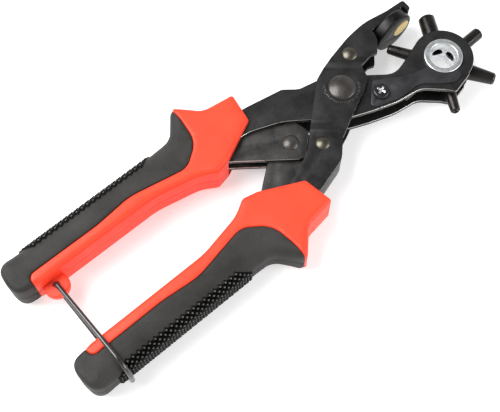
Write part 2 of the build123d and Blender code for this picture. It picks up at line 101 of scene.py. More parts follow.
# ---------------------------------------------------------------- materials
class Recipe:
    """A material whose nodes are added by short calls."""

    def __init__(self, name):
        self.material = bpy.data.materials.new(name)
        self.material.use_nodes = True
        self.tree = self.material.node_tree
        self.shader = self.tree.nodes["Principled BSDF"]
        coords = self.tree.nodes.new("ShaderNodeTexCoord")
        self.place = coords.outputs["Object"]

    def node(self, kind, inputs=None, **settings):
        made = self.tree.nodes.new(kind)
        for key, value in settings.items():
            setattr(made, key, value)
        for key, value in (inputs or {}).items():
            self.feed(made.inputs[key], value)
        return made

    def feed(self, socket, value):
        if isinstance(value, bpy.types.NodeSocket):
            self.tree.links.new(value, socket)
        else:
            socket.default_value = value

    def set(self, **values):
        for key, value in values.items():
            self.feed(self.shader.inputs[key.replace("_", " ")], value)

    def noise(self, scale, detail=3.0, roughness=0.55, stretch=(1, 1, 1), turn=0.0):
        """Noise whose grains are 1/scale metres across."""
        mapping = self.node("ShaderNodeMapping", {"Vector": self.place, "Scale": stretch})
        mapping.inputs["Rotation"].default_value[2] = turn
        inputs = {
            "Vector": mapping.outputs["Vector"],
            "Scale": scale,
            "Detail": detail,
            "Roughness": roughness,
        }
        return self.node("ShaderNodeTexNoise", inputs).outputs["Fac"]

    def ramp(self, value, low, high, start=0.0, end=1.0):
        """The value's span from low to high, turned into start to end."""
        sockets = {0: value, 1: low, 2: high, 3: start, 4: end}
        made = self.node("ShaderNodeMapRange", clamp=True)
        for index, item in sockets.items():
            self.feed(made.inputs[index], item)
        return made.outputs["Result"]

    def spread(self, noise, start, end):
        """The span that noise mostly keeps to, turned into start to end."""
        return self.ramp(noise, 0.3, 0.7, start, end)

    def colours(self, value, *stops):
        """A colour from a value, by stops of (position, (r, g, b))."""
        made = self.node("ShaderNodeValToRGB", {"Fac": value})
        elements = made.color_ramp.elements
        while len(elements) < len(stops):
            elements.new(0.5)
        for element, (position, colour) in zip(elements, stops):
            element.position = position
            element.color = (*colour, 1.0)
        return made.outputs["Color"]

    def math(self, operation, a, b=0.0):
        made = self.node("ShaderNodeMath", {0: a, 1: b}, operation=operation)
        return made.outputs["Value"]

    def mix(self, main, other, share):
        """The main value with a share of another one in it."""
        return self.math("ADD", self.math("MULTIPLY", main, 1 - share), self.math("MULTIPLY", other, share))

    def bump(self, height, distance, strength=1.0, below=None):
        inputs = {"Height": height, "Distance": distance, "Strength": strength}
        made = self.node("ShaderNodeBump", inputs)
        if below is not None:
            self.feed(made.inputs["Normal"], below)
        return made.outputs["Normal"]


# the way that the plates' rims face where they get their painted highlight
HIGHLIGHT_SIDE = (0.25, -0.95, 0.1)
# rings that Blender's wave texture draws in one unit at scale 1
WAVES_PER_UNIT = 20


def black_plate(name, light, dark, roughness):
    """Black-oxide steel: cloudy dark grey, with a fine grain and a few rub marks."""
    recipe = Recipe(name)
    cloud = recipe.noise(150, 6, 0.65)
    grain = recipe.noise(1900, 3, 0.7)
    mixed = recipe.mix(cloud, grain, 0.35)
    recipe.set(Base_Color=recipe.colours(mixed, (0.36, dark), (0.66, light)), Metallic=0.6)
    streaks = recipe.noise(260, 3, 0.7, (1, 9, 1), 0.6)
    rough = recipe.spread(mixed, roughness, roughness + 0.14)
    recipe.set(Roughness=recipe.math("ADD", recipe.spread(streaks, -0.05, 0.06), rough))
    recipe.set(Normal=recipe.bump(grain, 0.00008, 0.4, recipe.bump(streaks, 0.00004, 0.25)))
    return recipe.material


def sheared_edge(name):
    """The rounded rim of a pressed plate: the side that faces the front is painted bright bare metal as a
    painted highlight, broken up by a wear noise; the other sides stay dark.
    """
    recipe = Recipe(name)
    wear = recipe.noise(330, 4, 0.65, (1, 1, 0.3))
    normal = recipe.node("ShaderNodeNewGeometry").outputs["Normal"]
    facing = recipe.node("ShaderNodeVectorMath", {0: normal, 1: HIGHLIGHT_SIDE}, operation="DOT_PRODUCT")
    front = recipe.ramp(facing.outputs["Value"], 0.15, 0.6)
    # painted highlight: bright only on the rim's front-facing side, with wear noise in it
    bare = recipe.math("MULTIPLY", front, recipe.ramp(wear, 0.3, 0.44))
    recipe.set(
        Base_Color=recipe.colours(bare, (0.05, (0.022, 0.021, 0.021)), (0.9, (0.62, 0.61, 0.58))),
        Metallic=0.9,
        Roughness=recipe.spread(wear, 0.4, 0.26),
    )
    return recipe.material


def bright_zinc(name, tint, roughness):
    """Plated or bare metal with soft clouds and a fine grain."""
    recipe = Recipe(name)
    cloud = recipe.noise(500, 4, 0.6)
    fine = recipe.noise(4200, 2)
    dark = tuple(0.78 * value for value in tint)
    recipe.set(
        Base_Color=recipe.colours(cloud, (0.25, dark), (0.7, tint)),
        Metallic=1.0,
        Roughness=recipe.spread(cloud, roughness, roughness + 0.1),
        Normal=recipe.bump(fine, 0.00002, 0.12),
    )
    return recipe.material


def turned_metal(name, tint, dark, node, roughness, pitch):
    """Steel or brass faced on a lathe: fine rings round the anvil's axis, at a node's centre."""
    recipe = Recipe(name)
    offset = {0: recipe.place, 1: centre(node)}
    shifted = recipe.node("ShaderNodeVectorMath", offset, operation="SUBTRACT").outputs["Vector"]
    mapping = recipe.node("ShaderNodeMapping", {"Vector": shifted}, vector_type="TEXTURE")
    mapping.inputs["Rotation"].default_value = PUNCHING.to_track_quat("Z", "Y").to_euler()
    inputs = {
        "Vector": mapping.outputs["Vector"],
        "Scale": 1 / (pitch * WAVES_PER_UNIT),
        "Distortion": 0.4,
        "Detail": 1.0,
    }
    rings = recipe.node("ShaderNodeTexWave", inputs, wave_type="RINGS", rings_direction="Z")
    cloud = recipe.noise(380, 4, 0.6)
    recipe.set(
        Base_Color=recipe.colours(cloud, (0.3, dark), (0.7, tint)),
        Metallic=0.9,
        Roughness=recipe.spread(cloud, roughness, roughness + 0.12),
        Normal=recipe.bump(rings.outputs["Fac"], 0.00005, 0.35),
    )
    return recipe.material


def red_plastic():
    """Semi-gloss moulded plastic with a faint orange peel and slight haze."""
    recipe = Recipe("red_plastic")
    cloud = recipe.noise(70, 3)
    peel = recipe.noise(900, 2)
    scuff = recipe.noise(350, 4, 0.7, (1, 5, 1), 0.4)
    recipe.set(
        Base_Color=recipe.colours(cloud, (0.25, (0.84, 0.048, 0.018)), (0.8, (0.92, 0.066, 0.027))),
        Specular_IOR_Level=0.3,
        Roughness=recipe.ramp(scuff, 0.35, 0.75, 0.4, 0.52),
        Normal=recipe.bump(peel, 0.00006, 0.2),
    )
    recipe.shader.inputs["Subsurface Weight"].default_value = 0.08
    recipe.shader.inputs["Subsurface Radius"].default_value = (0.004, 0.0012, 0.0006)
    recipe.shader.inputs["Subsurface Scale"].default_value = 0.5
    return recipe.material


def black_rubber(name, roughness, shade=1.0, gloss=0.3):
    """Soft overmould: dark grey with a fine sparkled grain, lighter or darker by its shade."""
    recipe = Recipe(name)
    cloud = recipe.noise(60, 4)
    speckle = recipe.noise(2400, 2, 0.8)
    grain = recipe.noise(1500, 3, 0.7)
    mixed = recipe.mix(cloud, speckle, 0.4)
    dark = tuple(shade * value for value in (0.011, 0.0107, 0.01))
    light = tuple(shade * value for value in (0.033, 0.031, 0.028))
    recipe.set(
        Base_Color=recipe.colours(mixed, (0.36, dark), (0.64, light)),
        Specular_IOR_Level=gloss,
        Roughness=recipe.spread(grain, roughness - 0.06, roughness + 0.06),
        Normal=recipe.bump(grain, 0.00008, 0.35),
    )
    return recipe.material


def black_wire():
    """Dark drawn wire, smooth enough to show a line of light."""
    recipe = Recipe("black_wire")
    cloud = recipe.noise(300, 4)
    recipe.set(
        Base_Color=recipe.colours(cloud, (0.3, (0.008, 0.008, 0.008)), (0.7, (0.025, 0.024, 0.023))),
        Specular_IOR_Level=0.8,
        Roughness=recipe.spread(cloud, 0.14, 0.26),
        Normal=recipe.bump(recipe.noise(1800), 0.00003, 0.3),
    )
    return recipe.material


PLATE = black_plate("black_oxide_plate", (0.04, 0.0385, 0.0385), (0.014, 0.0137, 0.014), 0.34)
LEVER = black_plate("black_oxide_lever", (0.072, 0.069, 0.067), (0.029, 0.028, 0.028), 0.36)
SPRING = black_plate("blued_spring", (0.062, 0.061, 0.066), (0.03, 0.03, 0.034), 0.3)
DOME = black_plate("oxide_dome", (0.09, 0.083, 0.078), (0.035, 0.032, 0.03), 0.24)
TURRET = black_plate("turret_oxide", (0.03, 0.027, 0.025), (0.009, 0.0085, 0.0085), 0.2)
SCREW = black_plate("black_screw", (0.04, 0.04, 0.042), (0.015, 0.015, 0.016), 0.22)
EDGE = sheared_edge("sheared_edge")
ZINC = bright_zinc("bright_zinc", (0.93, 0.95, 0.96), 0.3)
DULL_ZINC = bright_zinc("dull_zinc", (0.13, 0.12, 0.096), 0.34)
RED = red_plastic()
RUBBER = black_rubber("black_rubber", 0.62)
# painted shade: the knurl's flanks, far darker than the rubber, for the shade in its valleys
KNURL = black_rubber("black_rubber_knurl", 0.4, 0.06, 0.2)
# painted glint: the knurl's flat tips, several times lighter than the rubber
KNURL_TIP = black_rubber("black_rubber_tips", 0.4, 3.6, 0.4)
BARE = bright_zinc("bare_steel", (0.2, 0.195, 0.19), 0.36)
WIRE = black_wire()
ANVIL_STEEL = turned_metal(
    "turned_anvil_steel", (0.03, 0.031, 0.03), (0.01, 0.0105, 0.01), "anvil_holder", 0.34, 0.0005
)
BRASS = turned_metal("turned_brass", (0.88, 0.68, 0.28), (0.66, 0.47, 0.17), "anvil_pad", 0.26, 0.0004)


# ---------------------------------------------------------------- finished CAD metal
def body_of(node):
    return next(body for body, members in BODIES.items() if node in members)


def slot_of(node):
    parts = frame["record"]["subparts"]
    return next(part["material_slot"] for part in parts if part["node"] == node)


def smooth_by_angle(mesh, degrees):
    """Smooth faces with sharp edges where the surface turns more than this."""
    work = bmesh.new()
    work.from_mesh(mesh)
    limit = math.radians(degrees)
    for face in work.faces:
        face.smooth = True
    for edge in work.edges:
        edge.smooth = len(edge.link_faces) == 2 and edge.calc_face_angle(0) < limit
    work.to_mesh(mesh)
    work.free()


def recalculated(mesh):
    """Turns the normals of a closed mesh outwards."""
    work = bmesh.new()
    work.from_mesh(mesh)
    bmesh.ops.recalc_face_normals(work, faces=work.faces)
    work.to_mesh(mesh)
    work.free()
    return mesh


def welded_copy(nodes, name):
    """A copy of CAD meshes with their corners joined and flat faces made whole.

    Several nodes of one folded sheet meet at the first one's low X end, where the
    faces between them are taken out.
    """
    work = bmesh.new()
    for node in nodes:
        work.from_mesh(NODES[node].data)
    bmesh.ops.remove_doubles(work, verts=work.verts, dist=WELD)
    if len(nodes) > 1:
        joint_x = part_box(nodes[0])[0].x
        inner = [face for face in work.faces if all(abs(v.co.x - joint_x) < WELD for v in face.verts)]
        bmesh.ops.delete(work, geom=inner, context="FACES")
    flat = math.radians(0.4)
    bmesh.ops.dissolve_limit(work, angle_limit=flat, verts=work.verts, edges=work.edges)
    mesh = bpy.data.meshes.new(name)
    work.to_mesh(mesh)
    work.free()
    return mesh


def applied(piece):
    """The piece's mesh with its modifiers worked in."""
    graph = bpy.context.evaluated_depsgraph_get()
    mesh = bpy.data.meshes.new_from_object(piece.evaluated_get(graph), depsgraph=graph)
    mesh.name = piece.name
    piece.modifiers.clear()
    piece.data = mesh
    return mesh


def without_slivers(mesh):
    """Takes out edges and faces that rounding has shrunk to nothing."""
    work = bmesh.new()
    work.from_mesh(mesh)
    bmesh.ops.dissolve_degenerate(work, dist=SLIVER, edges=work.edges)
    work.to_mesh(mesh)
    work.free()


def add_piece(name, mesh, body, slot, *nodes):
    piece = bpy.data.objects.new(name, mesh)
    bpy.context.scene.collection.objects.link(piece)
    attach(piece, body)
    if nodes:
        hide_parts(*nodes)
    return piece


def finish_metal(node, face, rim, width, segments=2, others=(), clamp=True):
    """Stands a copy with rounded rims in for a CAD node, or for the nodes of one sheet.

    The rim's width is in millimetres. Clamping narrows it where edges are short.
    """
    nodes = (node, *others)
    name = f"{node}_finished"
    piece = add_piece(name, welded_copy(nodes, name), body_of(node), slot_of(node), *nodes)
    piece.data.materials.append(face)
    piece.data.materials.append(rim)
    bevel = piece.modifiers.new("rim", "BEVEL")
    bevel.width = width * MM
    bevel.segments = segments
    bevel.limit_method = "ANGLE"
    bevel.angle_limit = math.radians(40)
    bevel.material = 1
    bevel.miter_outer = "MITER_ARC"
    bevel.use_clamp_overlap = clamp
    without_slivers(applied(piece))
    smooth_by_angle(piece.data, METAL_SHARP)
    return piece


def repaint(node, material):
    """Keeps a CAD node and gives it a finished material."""
    piece = NODES[node]
    piece.data.materials.clear()
    piece.data.materials.append(material)


def painted_glint_recess(piece, node):
    """Paints the walls and floor of a screw's driver recess bright zinc, as painted glints."""
    radius, rim, floor, bottom = (value * MM for value in (2.2, 0.1, 0.8, 1.5))
    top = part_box(node)[1].z
    middle = centre(node)
    piece.data.materials.append(ZINC)
    bright = len(piece.data.materials) - 1
    for face in piece.data.polygons:
        away = face.center - middle
        deep = top - face.center.z
        is_wall = deep > rim and abs(face.normal.z) < 0.5
        # the recess's walls and floor get the painted glint
        if math.hypot(away.x, away.y) < radius and deep < bottom and (is_wall or deep > floor):
            face.material_index = bright


SHEET_PARTS = ("wheel_jaw_rear", "wheel_jaw_tail")
finish_metal("wheel_jaw_front", PLATE, EDGE, 0.24, 3, others=SHEET_PARTS, clamp=False)
finish_metal("anvil_jaw_channel", PLATE, EDGE, 0.4, 3)
for name in ("upper_lever_front", "upper_lever_rear", "lower_lever"):
    finish_metal(name, LEVER, EDGE, 0.35, 3)
finish_metal("index_spring", SPRING, SPRING, 0.2)
painted_glint_recess(finish_metal("index_spring_screw", SCREW, EDGE, 0.12), "index_spring_screw")
finish_metal("wheel_hub", TURRET, TURRET, 0.15)
for index in range(1, TUBES + 1):
    finish_metal(f"punch_tube_{index}", TURRET, EDGE, 0.08)
for name in ("main_pivot_rivet", "toggle_rivet", "upper_handle_pin", "lower_handle_pin"):
    finish_metal(name, DOME, DOME, 0.1)
for name in ("jaw_rivet", "tail_rivet"):
    finish_metal(name, DULL_ZINC, DULL_ZINC, 0.1)
for name in ("axle_eyelet_front", "axle_eyelet_rear", "slug_sleeve"):
    finish_metal(name, ZINC, ZINC, 0.1)
for name in (
    "jaw_spacer",
    "pivot_sleeve",
    "jaw_rivet_sleeve",
    "tail_rivet_sleeve",
    "upper_lever_spacer",
    "lower_pin_washer_front",
    "lower_pin_washer_rear",
):
    finish_metal(name, LEVER, EDGE, 0.15)


def pivot_marks():
    """A ring of small plain strokes pressed round the main pivot's head, as raised lips."""
    random = np.random.default_rng(7)
    head = size("main_pivot_rivet").x / 2
    face_z = in_tool(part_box("anvil_jaw_channel")[1]).z
    half_width, foot, lip, slope = 0.13, -0.05, 0.06, 0.2
    verts, faces = [], []
    for degrees in range(132, 338, 6):
        angle = math.radians(degrees + random.uniform(-1, 1))
        inner = head + 1.0 + random.uniform(0, 0.3)
        outer = inner + random.uniform(0.5, 1.3)
        out = np.array((math.cos(angle), math.sin(angle)))
        side = np.array((-out[1], out[0])) * half_width
        start = len(verts)
        for place, lift in ((inner, foot), (inner + slope, lip), (outer - slope, lip), (outer, foot)):
            for turn in (-1, 1):
                verts.append(at(*(out * place + side * turn), face_z + lift))
        # three faces over the lip, one under it, and its two sides
        faces += [(start + k, start + k + 1, start + k + 3, start + k + 2) for k in (0, 2, 4)]
        faces.append((start, start + 6, start + 7, start + 1))
        faces.append((start, start + 2, start + 4, start + 6))
        faces.append((start + 7, start + 5, start + 3, start + 1))
    mesh = bpy.data.meshes.new("pivot_marks")
    mesh.from_pydata(verts, [], faces)
    mesh.materials.append(BARE)
    add_piece("pivot_marks", recalculated(mesh), "anvil_jaw", "blackened_plate")


pivot_marks()
repaint("opening_spring", SPRING)
repaint("bail", WIRE)

finish_metal("anvil_holder", ANVIL_STEEL, ANVIL_STEEL, 0.3)
finish_metal("anvil_pad", BRASS, BRASS, 0.12)


# ---------------------------------------------------------------- outlines in the tool's plane
def rounded_outline(corners, step):
    """Points along a closed outline whose corners are (x, y, corner radius)."""
    points = []
    count = len(corners)
    for index, (x, y, radius) in enumerate(corners):
        here = np.array((x, y))
        to_before = np.array(corners[index - 1][:2]) - here
        to_after = np.array(corners[(index + 1) % count][:2]) - here
        to_before /= np.linalg.norm(to_before)
        to_after /= np.linalg.norm(to_after)
        half = math.acos(np.clip(to_before @ to_after, -1, 1)) / 2
        if radius == 0:
            points.append(here)
            continue
        inward = (to_before + to_after) / np.linalg.norm(to_before + to_after)
        middle = here + inward * radius / math.sin(half)
        start = here + to_before * radius / math.tan(half) - middle
        end = here + to_after * radius / math.tan(half) - middle
        sweep = math.pi - 2 * half
        spin = math.copysign(1.0, start[0] * end[1] - start[1] * end[0])
        steps = max(2, math.ceil(sweep * max(radius, 1.0) / step), math.ceil(sweep / math.radians(14)))
        for share in np.linspace(0, 1, steps + 1):
            angle = spin * sweep * share
            turned = (
                start[0] * math.cos(angle) - start[1] * math.sin(angle),
                start[0] * math.sin(angle) + start[1] * math.cos(angle),
            )
            points.append(middle + turned)
    dense = []
    for here, after in zip(points, points[1:] + points[:1]):
        pieces = max(1, round(np.linalg.norm(after - here) / step))
        dense += [here + (after - here) * k / pieces for k in range(pieces)]
    return np.array(dense)


def sideways(line):
    """Unit vectors across a closed line, to the left of its direction."""
    along = np.roll(line, -1, axis=0) - np.roll(line, 1, axis=0)
    along /= np.linalg.norm(along, axis=1)[:, None]
    return np.stack([-along[:, 1], along[:, 0]], axis=1)


def inside(points, polygon):
    """Which points lie inside a closed polygon."""
    x, y = points[:, 0][:, None], points[:, 1][:, None]
    x0, y0 = polygon[:, 0], polygon[:, 1]
    x1, y1 = np.roll(x0, -1), np.roll(y0, -1)
    with np.errstate(divide="ignore", invalid="ignore"):
        crosses = ((y0 > y) != (y1 > y)) & (x < (x1 - x0) * (y - y0) / (y1 - y0) + x0)
    return crosses.sum(axis=1) % 2 == 1


def distances(points, line):
    """How far each point is from each segment of a closed line."""
    start, end = line, np.roll(line, -1, axis=0)
    along = end - start
    share = ((points[:, None] - start) * along).sum(2) / (along**2).sum(1)
    spots = start + np.clip(share, 0, 1)[:, :, None] * along
    return np.linalg.norm(points[:, None] - spots, axis=2)


# ---------------------------------------------------------------- moulded grips
# Corners are (x, y, corner radius), in millimetres, for the upper grip. The pocket is the
# slot in its guard that the jaw's tail and the lever go into.
OUTER_EDGE = ((-88.0, 29.7), (-165.0, 29.9))
GRIP_CORNERS = [
    (-39.3, 28.6, 1.4),
    (-54.5, 30.8, 8.0),
    (-63.6, 40.6, 1.4),
    (-66.4, 39.0, 2.0),
    (-74.0, 29.9, 8.0),
    (*OUTER_EDGE[0], 20.0),
    (*OUTER_EDGE[1], 6.0),
    (-166.3, 20.0, 12.0),
    (-165.0, 13.6, 5.0),
    (-154.0, 12.3, 12.0),
    (-96.0, 12.0, 40.0),
    (-75.0, 7.6, 20.0),
    (-68.0, 3.4, 3.0),
    (-61.0, 5.0, 1.5),
    (-41.8, 14.3, 1.2),
]
COVER_CORNERS = [
    (-64.6, 60.0, 0.0),
    (-180.0, 60.0, 0.0),
    (-180.0, 0.0, 0.0),
    (-157.4, 0.0, 0.0),
    (-157.4, 17.5, 3.0),
    (-122.0, 17.2, 60.0),
    (-104.0, 18.8, 30.0),
    (-77.0, 13.4, 9.0),
    (-66.4, 21.0, 12.0),
    (-64.6, 33.0, 30.0),
]
POCKET_CORNERS = [
    (-30.0, 25.4, 0.0),
    (-67.0, 25.4, 3.0),
    (-70.0, 16.0, 6.0),
    (-68.5, 8.4, 2.0),
    (-61.2, 4.9, 0.0),
    (-45.0, -20.0, 0.0),
    (-30.0, -20.0, 0.0),
]
POCKET_HALF = 6.9
SEAM_DEPTH = 0.8
SEAM_WIDTH = 0.6
# mesh rows beside the seam, and rows that go round the rim's rounding
SEAM_ROWS = (-0.62, -0.34, -0.14, 0.14, 0.34, 0.62)
RIM_ROW_DEGREES = (14, 28, 42, 56, 70, 83)
# how far the mesh's other points keep from the seam, the rim and the rounding
SEAM_CLEAR = 0.8
RIM_CLEAR = 0.25
GRID_CLEAR = 0.6
GRID_SPACING = 1.6
OUTLINE_STEP = 1.1
SEAM_STEP = 0.8
# a point this near the rim is on it
ON_RIM = 0.01
# how far along the rim one kind of rounding blends into the next
BLEND = 4.0
# half the width of the parting line's groove, and its depth
PARTING = 0.25
TAB = (-150.0, 9.8)
TAB_R = 5.6
TAB_HALF = 2.0
TAB_HOLE_R = 1.5
TAB_HOLE_RIM = 0.2
TAB_ROUND = 0.7
KNURL_START = -84.5
KNURL_PITCH = 1.4
KNURL_COLUMNS = 50
KNURL_ROWS = 16
KNURL_INSET = 3.6
KNURL_HEIGHT = 0.95
KNURL_BASE = 0.05
KNURL_SUNK = -0.5
# how many places the pad's corners are cut back
KNURL_CUT = 5
KNURL_ARC_POINTS = 12
# the side's slope is taken this far to each side of a place
KNURL_PROBE = 0.4
# a tip's size as a share of its diamond, and an area that only the tips stay under, which picks the faces
# that get the painted glint
KNURL_FLAT = 0.34
KNURL_TIP_AREA = 0.7 * MM**2
# how far a rim's rounding reaches inwards and how far down, for each kind of rim
RIM_GUARD = (2.2, 2.0)
RIM_STRIP = (2.5, 2.4)
RIM_OUTER = (8.5, 5.8)
RIM_HORN = (5.5, 5.0)
RIM_END = (2.6, 2.4)
# where those kinds lie: the handle's end, its outer side, the guard's horn, the red strip
END_X = -162.0
OUTER_Y = 22.0
HORN_X = (-80.0, -65.5)
STRIP_X = -74.0
# a point's roundings are blended from rim segments that are about as far away, in mm2
NEARNESS = 8.0


def rim_kind(x, y):
    """Which rounding a rim point of the upper grip has."""
    if x < END_X:
        return RIM_END
    if y > OUTER_Y and x < HORN_X[0]:
        return RIM_OUTER
    if y > OUTER_Y and x < HORN_X[1]:
        return RIM_HORN
    if x < STRIP_X:
        return RIM_STRIP
    return RIM_GUARD


def rim_sizes(rim):
    """The two rounding sizes along the rim, blended where one kind meets the next."""
    raw = np.array([rim_kind(x, y) for x, y in rim])
    gaps = np.linalg.norm(np.roll(rim, -1, axis=0) - rim, axis=1)
    place = np.concatenate([[0], np.cumsum(gaps)[:-1]])
    total = gaps.sum()
    apart = np.abs(place[:, None] - place)
    apart = np.minimum(apart, total - apart)
    weight = np.exp(-((apart / BLEND) ** 2)) * gaps
    return weight @ raw / weight.sum(axis=1)[:, None]


def rounding_drop(points, rim, sizes):
    """How far the top face lies below the grip's full height."""
    away = distances(points, rim)
    nearest = away.min(axis=1)
    middle_sizes = (sizes + np.roll(sizes, -1, axis=0)) / 2
    weight = np.exp(-(away**2 - nearest[:, None] ** 2) / NEARNESS)
    local = weight @ middle_sizes / weight.sum(axis=1)[:, None]
    reach, depth = local[:, 0], local[:, 1]
    share = np.clip((reach - nearest) / reach, 0, 1)
    return depth * (1 - np.sqrt(1 - share**2))


def grip_points(rim, sizes, seam):
    """Points for the top face: rows inside the rim, rows beside the seam, and a grid."""
    inward = sideways(rim)
    if not inside(rim[:1] + inward[:1] * RIM_CLEAR, rim)[0]:
        inward = -inward
    rows = []
    for degrees in RIM_ROW_DEGREES:
        share = 1 - math.cos(math.radians(degrees))
        row = rim + inward * (sizes[:, :1] * share)
        keep = inside(row, rim) & (distances(row, rim).min(axis=1) > sizes[:, 0] * share * 0.97)
        rows.append(row[keep])
    low, high = rim.min(axis=0), rim.max(axis=0)
    columns, lines = (np.arange(low[k], high[k], GRID_SPACING) for k in range(2))
    grid = np.stack([axis.ravel() for axis in np.meshgrid(columns, lines)], axis=1)
    grid = grid[inside(grid, rim)]
    away = distances(grid, rim)
    local_reach = sizes[away.argmin(axis=1), 0]
    grid = grid[away.min(axis=1) > local_reach + GRID_CLEAR]
    free = np.concatenate([*rows, grid])
    return free[distances(free, seam).min(axis=1) > SEAM_CLEAR]


def seam_rows(seam, rim):
    """Points in rows on both sides of the seam, where its lips roll in."""
    side = sideways(seam)
    points = np.concatenate([seam + side * offset for offset in SEAM_ROWS])
    points = points[inside(points, rim)]
    return points[distances(points, rim).min(axis=1) > RIM_CLEAR]


def closed_edges(start, count):
    return [(start + k, start + (k + 1) % count) for k in range(count)]


def grip_top(rim, seam, sizes):
    """The grip's plan in triangles, cut along the seam.

    Gives the points, their heights, the triangles and which of them the cover has.
    """
    free = grip_points(rim, sizes, seam)
    lips = seam_rows(seam, rim)
    every = np.concatenate([rim, seam, free, lips])
    edges = closed_edges(0, len(rim)) + closed_edges(len(rim), len(seam))
    points, _, faces, _, _, _ = delaunay_2d_cdt([Vector(p) for p in every], edges, [], 0, 1e-5)
    points = np.array([tuple(p) for p in points])
    faces = np.array([tuple(f) for f in faces if len(f) == 3])
    middles = points[faces].mean(axis=1)
    in_grip = inside(middles, rim)
    faces = faces[in_grip]
    in_cover = inside(middles[in_grip], seam)
    drop = rounding_drop(points, rim, sizes)
    near_seam = distances(points, seam).min(axis=1)
    lip = SEAM_DEPTH * np.clip(1 - near_seam / SEAM_WIDTH, 0, 1) ** 2
    return points, GRIP_HALF - drop - lip, faces, in_cover


def turned_up(tris, plan):
    """The triangles with their corners counter-clockwise."""
    a, b, c = (plan[tris[:, k]] for k in range(3))
    area = (b[:, 0] - a[:, 0]) * (c[:, 1] - a[:, 1]) - (b[:, 1] - a[:, 1]) * (c[:, 0] - a[:, 0])
    tris[area < 0] = tris[area < 0][:, ::-1]
    return tris


def border_of(tris):
    """The edges that only one triangle has, in that triangle's direction."""
    directed = {}
    for face in tris:
        for k in range(3):
            directed[(face[k], face[(k + 1) % 3])] = True
    return [edge for edge in directed if (edge[1], edge[0]) not in directed]


def parting_indents(plan, border, rim):
    """For each border point, how far the parting line's groove goes in, as a vector.

    The groove runs along the grip's rim and ends beside the seam.
    """
    points = sorted({k for edge in border for k in edge})
    on_rim = dict(zip(points, distances(plan[points], rim).min(axis=1) < ON_RIM))
    indents = {}
    for k in points:
        indents[k] = np.zeros(2)
        touching = [edge for edge in border if k in edge]
        if all(on_rim[end] for edge in touching for end in edge):
            first = next(edge for edge in touching if edge[1] == k)
            second = next(edge for edge in touching if edge[0] == k)
            along = plan[second[1]] - plan[first[0]]
            along /= np.linalg.norm(along)
            indents[k] = np.array((-along[1], along[0])) * PARTING
    return indents


def shell(points, heights, faces, rim):
    """A closed solid from plan triangles: top, mirrored bottom, and walls with a parting line."""
    used = np.unique(faces)
    renumber = {old: new for new, old in enumerate(used)}
    plan, height = points[used], heights[used]
    tris = turned_up(np.array([[renumber[k] for k in face] for face in faces]), plan)
    count = len(plan)
    border = border_of(tris)
    verts = [(x, y, z) for (x, y), z in zip(plan, height)]
    verts += [(x, y, -z) for (x, y), z in zip(plan, height)]
    solid = [tuple(face) for face in tris] + [tuple(face[::-1] + count) for face in tris]
    columns = {}
    for k, indent in parting_indents(plan, border, rim).items():
        x, y = plan[k]
        start = len(verts)
        verts += [(x, y, PARTING), (x + indent[0], y + indent[1], 0), (x, y, -PARTING)]
        columns[k] = [k, start, start + 1, start + 2, k + count]
    for first, second in border:
        left, right = columns[second], columns[first]
        solid += [(left[row], right[row], right[row + 1], left[row + 1]) for row in range(4)]
    return verts, solid


def mesh_from(name, verts, faces, mirror):
    """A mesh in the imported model's frame; the lower grip is the upper one's mirror image."""
    placed = []
    for x, y, z in verts:
        placed.append(at(x, 2 * GRIP_AXIS_Y - y if mirror else y, z))
    if mirror:
        faces = [tuple(reversed(face)) for face in faces]
    mesh = bpy.data.meshes.new(name)
    mesh.from_pydata(placed, [], faces)
    mesh.validate()
    return mesh


def cutter(corners, half, mirror):
    """A temporary prism for cutting."""
    plan = rounded_outline(corners, step=2.0)
    count = len(plan)
    verts = [(x, y, half) for x, y in plan] + [(x, y, -half) for x, y in plan]
    faces = [tuple(range(count)), tuple(reversed(range(count, 2 * count)))]
    faces += [(k, k + count, (k + 1) % count + count, (k + 1) % count) for k in range(count)]
    return loose_solid(verts, faces, mirror)


def loose_solid(verts, faces, mirror=False):
    """A temporary closed solid for cutting or joining."""
    mesh = recalculated(mesh_from("cutter", verts, faces, mirror))
    made = bpy.data.objects.new("cutter", mesh)
    bpy.context.scene.collection.objects.link(made)
    return made


def combine(piece, other, operation):
    """Cuts or joins another solid into a piece, and removes the other."""
    change = piece.modifiers.new("change", "BOOLEAN")
    change.operation = operation
    change.solver = "EXACT"
    change.object = other
    applied(piece)
    bpy.data.objects.remove(other)


def lathe(profile, steps):
    """A ring turned about +Z from closed (radius, height) points."""
    verts, faces = [], []
    count = len(profile)
    for step in range(steps):
        angle = 2 * math.pi * step / steps
        across, up = math.cos(angle), math.sin(angle)
        verts += [(radius * across, radius * up, height) for radius, height in profile]
        after = (step + 1) % steps
        for k in range(count):
            n = (k + 1) % count
            faces.append((step * count + k, after * count + k, after * count + n, step * count + n))
    return verts, faces


def tab_ring():
    """The eye for the bail at the inner side of the upper grip: a thick rounded washer."""
    profile = [(TAB_HOLE_R, -TAB_HALF + TAB_HOLE_RIM), (TAB_HOLE_R + TAB_HOLE_RIM, -TAB_HALF)]
    for degrees in range(-90, 1, 15):
        angle = math.radians(degrees)
        radius = TAB_R + TAB_ROUND * (math.cos(angle) - 1)
        profile.append((radius, TAB_ROUND * (math.sin(angle) + 1) - TAB_HALF))
    profile += [(radius, -height) for radius, height in reversed(profile)]
    verts, faces = lathe(profile, steps=72)
    return [(x + TAB[0], y + TAB[1], z) for x, y, z in verts], faces


